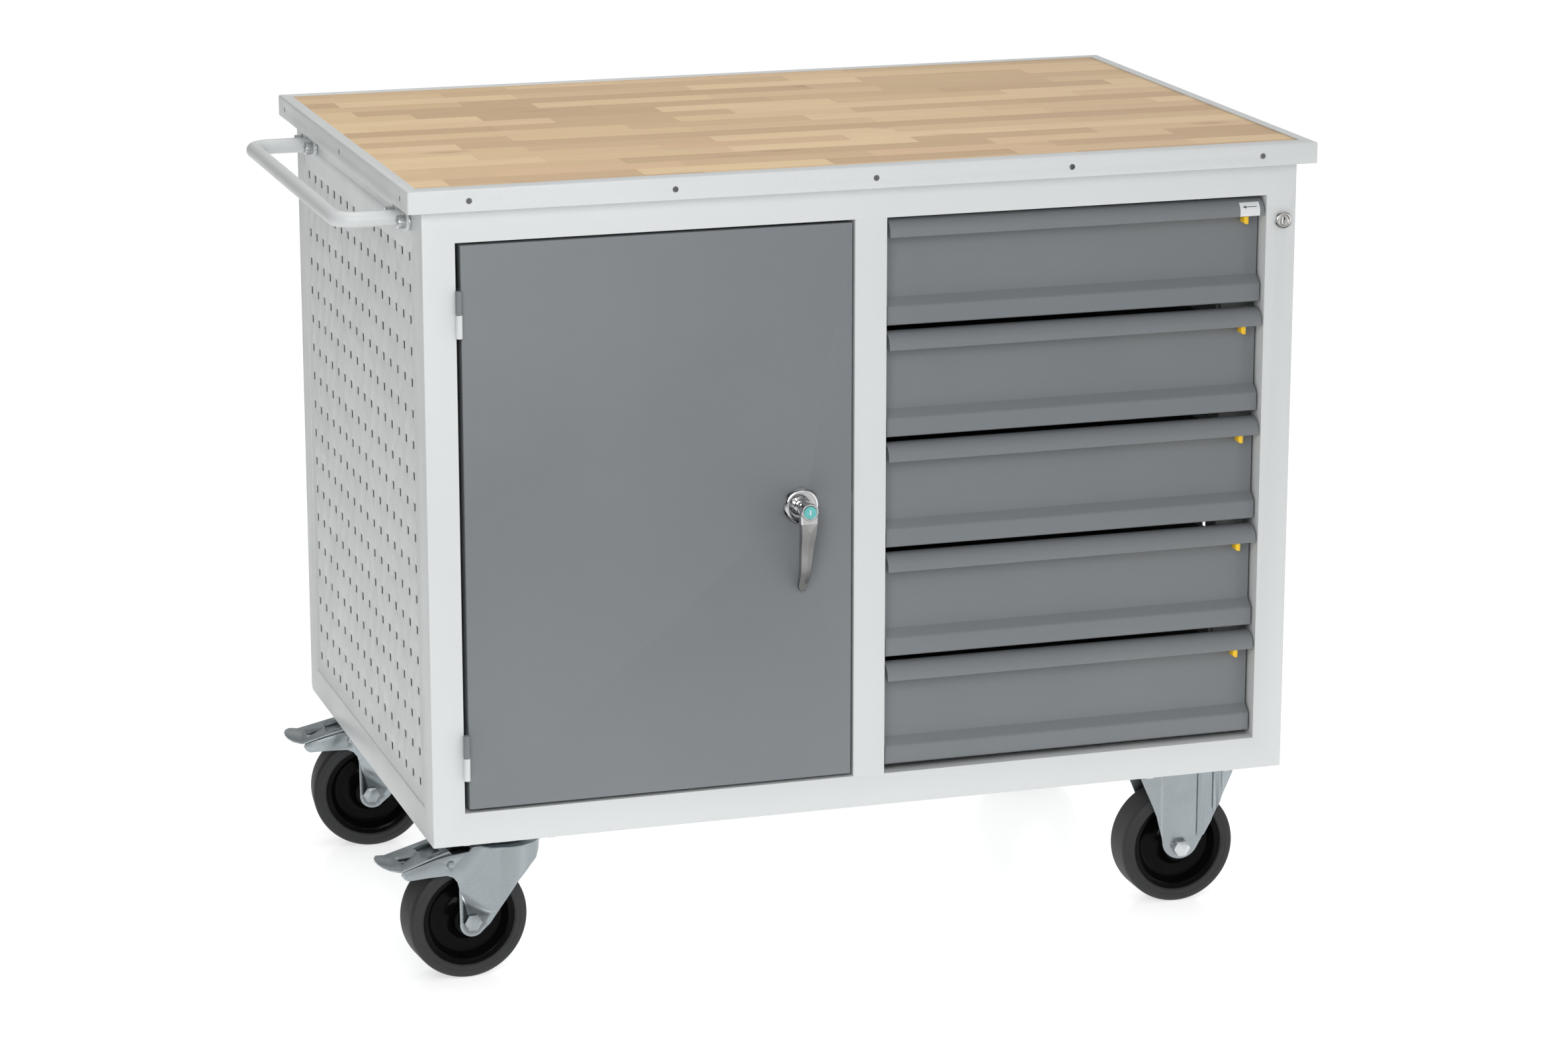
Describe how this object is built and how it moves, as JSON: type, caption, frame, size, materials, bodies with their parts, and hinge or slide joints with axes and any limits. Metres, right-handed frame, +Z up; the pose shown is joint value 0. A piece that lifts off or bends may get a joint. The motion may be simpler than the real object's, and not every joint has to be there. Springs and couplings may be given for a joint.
{
  "type": "mobile workbench with drawers",
  "caption": "Steel workbench on casters with an oak top, a lockable cupboard, a stack of drawers with finger latches, perforated sides and a push handle.",
  "frame": {"origin": "on the floor, under the middle of the object's box at rest", "axes": "+X to the right along the front, +Y towards the back (the door and drawers face -Y), +Z up"},
  "size_m": [1.2082, 0.7624, 0.986],
  "materials": {
    "light_grey_enamel": "fine texture powder coat, satin",
    "mid_grey_enamel": "fine texture powder coat, satin",
    "oak_board": "oiled laminated oak staves",
    "handle_chrome": "polished",
    "lock_nickel": "satin nickel",
    "teal_plastic": "moulded",
    "yellow_plastic": "moulded",
    "zinc_fastener": "bright zinc plated",
    "slide_zinc": "zinc plated strip",
    "caster_zinc": "zinc plated pressed steel",
    "wheel_rim": "glossy moulded polyamide",
    "wheel_tyre": "solid grey rubber"
  },
  "bodies": {
    "cabinet": {"front_frame": "light_grey_enamel", "side_panel_left": "light_grey_enamel", "side_panel_right": "light_grey_enamel", "back_panel": "light_grey_enamel", "base_pan": "light_grey_enamel", "divider_panel": "light_grey_enamel", "slotted_posts": "light_grey_enamel", "cupboard_shelf": "light_grey_enamel", "worktop_edge_frame": "light_grey_enamel", "worktop_board": "oak_board", "worktop_edge_screws": "zinc_fastener", "push_handle": "light_grey_enamel", "push_handle_screws": "zinc_fastener", "lock_housing": "lock_nickel", "drawer_rails": "slide_zinc", "caster_bolts": "zinc_fastener", "swivel_caster_plates": "caster_zinc", "rigid_caster_brackets": "caster_zinc", "rigid_caster_axles": "zinc_fastener", "hinge_frame_halves": "light_grey_enamel", "hinge_pins": "zinc_fastener"},
    "door": {"door_leaf": "mid_grey_enamel", "hinge_door_halves": "mid_grey_enamel", "handle_rosette": "handle_chrome"},
    "door_handle": {"handle_lever": "handle_chrome", "latch_cam": "zinc_fastener"},
    "door_key_plug": {"handle_key_plug": "teal_plastic"},
    "cabinet_lock_plug": {"lock_plug": "lock_nickel"},
    "drawer_1": {"drawer_front_1": "mid_grey_enamel", "drawer_box_1": "mid_grey_enamel"},
    "drawer_slides_1": {"drawer_slide_1": "slide_zinc"},
    "drawer_latch_1": {"drawer_latch_1": "yellow_plastic"},
    "drawer_2": {"drawer_front_2": "mid_grey_enamel", "drawer_box_2": "mid_grey_enamel"},
    "drawer_slides_2": {"drawer_slide_2": "slide_zinc"},
    "drawer_latch_2": {"drawer_latch_2": "yellow_plastic"},
    "drawer_3": {"drawer_front_3": "mid_grey_enamel", "drawer_box_3": "mid_grey_enamel"},
    "drawer_slides_3": {"drawer_slide_3": "slide_zinc"},
    "drawer_latch_3": {"drawer_latch_3": "yellow_plastic"},
    "drawer_4": {"drawer_front_4": "mid_grey_enamel", "drawer_box_4": "mid_grey_enamel"},
    "drawer_slides_4": {"drawer_slide_4": "slide_zinc"},
    "drawer_latch_4": {"drawer_latch_4": "yellow_plastic"},
    "drawer_5": {"drawer_front_5": "mid_grey_enamel", "drawer_box_5": "mid_grey_enamel"},
    "drawer_slides_5": {"drawer_slide_5": "slide_zinc"},
    "drawer_latch_5": {"drawer_latch_5": "yellow_plastic"},
    "swivel_front_left": {"caster_fork_front_left": "caster_zinc"},
    "wheel_front_left": {"wheel_rim_front_left": "wheel_rim", "wheel_tyre_front_left": "wheel_tyre"},
    "pedal_front_left": {"brake_pedal_front_left": "caster_zinc"},
    "swivel_back_left": {"caster_fork_back_left": "caster_zinc"},
    "wheel_back_left": {"wheel_rim_back_left": "wheel_rim", "wheel_tyre_back_left": "wheel_tyre"},
    "pedal_back_left": {"brake_pedal_back_left": "caster_zinc"},
    "wheel_front_right": {"wheel_rim_front_right": "wheel_rim", "wheel_tyre_front_right": "wheel_tyre"},
    "wheel_back_right": {"wheel_rim_back_right": "wheel_rim", "wheel_tyre_back_right": "wheel_tyre"}
  },
  "joints": [
    {"name": "door_swing", "type": "hinge", "parent": "cabinet", "child": "door", "pos_m": [-0.4736, -0.34705, 0.574], "axis": [0, 0, -1], "range_deg": [0, 170]},
    {"name": "door_handle_turn", "type": "hinge", "parent": "door", "child": "door_handle", "pos_m": [-0.0541, -0.36275, 0.574], "axis": [0, -1, 0], "range_deg": [0, 90]},
    {"name": "door_key_turn", "type": "hinge", "parent": "door_handle", "child": "door_key_plug", "pos_m": [-0.0541, -0.37575, 0.574], "axis": [0, 1, 0], "range_deg": [0, 90]},
    {"name": "cabinet_key_turn", "type": "hinge", "parent": "cabinet", "child": "cabinet_lock_plug", "pos_m": [0.5674, -0.33275, 0.8885], "axis": [0, 1, 0], "range_deg": [0, 90]},
    {"name": "drawer_1_pull", "type": "slide", "parent": "cabinet", "child": "drawer_1", "axis": [0, -1, 0], "range_m": [0, 0.56]},
    {"name": "drawer_1_slides", "type": "slide", "parent": "cabinet", "child": "drawer_slides_1", "axis": [0, -1, 0], "range_m": [0, 0.28]},
    {"name": "drawer_1_latch", "type": "slide", "parent": "drawer_1", "child": "drawer_latch_1", "axis": [-1, 0, 0], "range_m": [0, 0.012], "stiffness_N_per_m": 150, "springref_m": -0.004},
    {"name": "drawer_2_pull", "type": "slide", "parent": "cabinet", "child": "drawer_2", "axis": [0, -1, 0], "range_m": [0, 0.56]},
    {"name": "drawer_2_slides", "type": "slide", "parent": "cabinet", "child": "drawer_slides_2", "axis": [0, -1, 0], "range_m": [0, 0.28]},
    {"name": "drawer_2_latch", "type": "slide", "parent": "drawer_2", "child": "drawer_latch_2", "axis": [-1, 0, 0], "range_m": [0, 0.012], "stiffness_N_per_m": 150, "springref_m": -0.004},
    {"name": "drawer_3_pull", "type": "slide", "parent": "cabinet", "child": "drawer_3", "axis": [0, -1, 0], "range_m": [0, 0.56]},
    {"name": "drawer_3_slides", "type": "slide", "parent": "cabinet", "child": "drawer_slides_3", "axis": [0, -1, 0], "range_m": [0, 0.28]},
    {"name": "drawer_3_latch", "type": "slide", "parent": "drawer_3", "child": "drawer_latch_3", "axis": [-1, 0, 0], "range_m": [0, 0.012], "stiffness_N_per_m": 150, "springref_m": -0.004},
    {"name": "drawer_4_pull", "type": "slide", "parent": "cabinet", "child": "drawer_4", "axis": [0, -1, 0], "range_m": [0, 0.56]},
    {"name": "drawer_4_slides", "type": "slide", "parent": "cabinet", "child": "drawer_slides_4", "axis": [0, -1, 0], "range_m": [0, 0.28]},
    {"name": "drawer_4_latch", "type": "slide", "parent": "drawer_4", "child": "drawer_latch_4", "axis": [-1, 0, 0], "range_m": [0, 0.012], "stiffness_N_per_m": 150, "springref_m": -0.004},
    {"name": "drawer_5_pull", "type": "slide", "parent": "cabinet", "child": "drawer_5", "axis": [0, -1, 0], "range_m": [0, 0.56]},
    {"name": "drawer_5_slides", "type": "slide", "parent": "cabinet", "child": "drawer_slides_5", "axis": [0, -1, 0], "range_m": [0, 0.28]},
    {"name": "drawer_5_latch", "type": "slide", "parent": "drawer_5", "child": "drawer_latch_5", "axis": [-1, 0, 0], "range_m": [0, 0.012], "stiffness_N_per_m": 150, "springref_m": -0.004},
    {"name": "caster_swivel_front_left", "type": "hinge", "parent": "cabinet", "child": "swivel_front_left", "pos_m": [-0.4156, -0.27075, 0.165], "axis": [0, 0, 1], "continuous": true},
    {"name": "wheel_spin_front_left", "type": "hinge", "parent": "swivel_front_left", "child": "wheel_front_left", "pos_m": [-0.46441, -0.27502, 0.075], "axis": [-0.0872, 0.9962, 0], "continuous": true},
    {"name": "brake_pedal_front_left_lift", "type": "hinge", "parent": "swivel_front_left", "child": "pedal_front_left", "pos_m": [-0.48892, -0.27716, 0.1504], "axis": [-0.0872, 0.9962, 0], "range_deg": [0, 10]},
    {"name": "caster_swivel_back_left", "type": "hinge", "parent": "cabinet", "child": "swivel_back_left", "pos_m": [-0.4156, 0.25025, 0.165], "axis": [0, 0, 1], "continuous": true},
    {"name": "wheel_spin_back_left", "type": "hinge", "parent": "swivel_back_left", "child": "wheel_back_left", "pos_m": [-0.46429, 0.2558, 0.075], "axis": [0.1132, 0.9936, 0], "continuous": true},
    {"name": "brake_pedal_back_left_lift", "type": "hinge", "parent": "swivel_back_left", "child": "pedal_back_left", "pos_m": [-0.48873, 0.25858, 0.1504], "axis": [0.1132, 0.9936, 0], "range_deg": [0, 10]},
    {"name": "wheel_spin_front_right", "type": "hinge", "parent": "cabinet", "child": "wheel_front_right", "pos_m": [0.4664, -0.27275, 0.075], "axis": [0, 1, 0], "continuous": true},
    {"name": "wheel_spin_back_right", "type": "hinge", "parent": "cabinet", "child": "wheel_back_right", "pos_m": [0.4664, 0.25025, 0.075], "axis": [0, 1, 0], "continuous": true}
  ],
  "couplings": [
    {"joint": "drawer_1_slides", "follows": "drawer_1_pull", "ratio": 0.5},
    {"joint": "drawer_2_slides", "follows": "drawer_2_pull", "ratio": 0.5},
    {"joint": "drawer_3_slides", "follows": "drawer_3_pull", "ratio": 0.5},
    {"joint": "drawer_4_slides", "follows": "drawer_4_pull", "ratio": 0.5},
    {"joint": "drawer_5_slides", "follows": "drawer_5_pull", "ratio": 0.5}
  ]
}
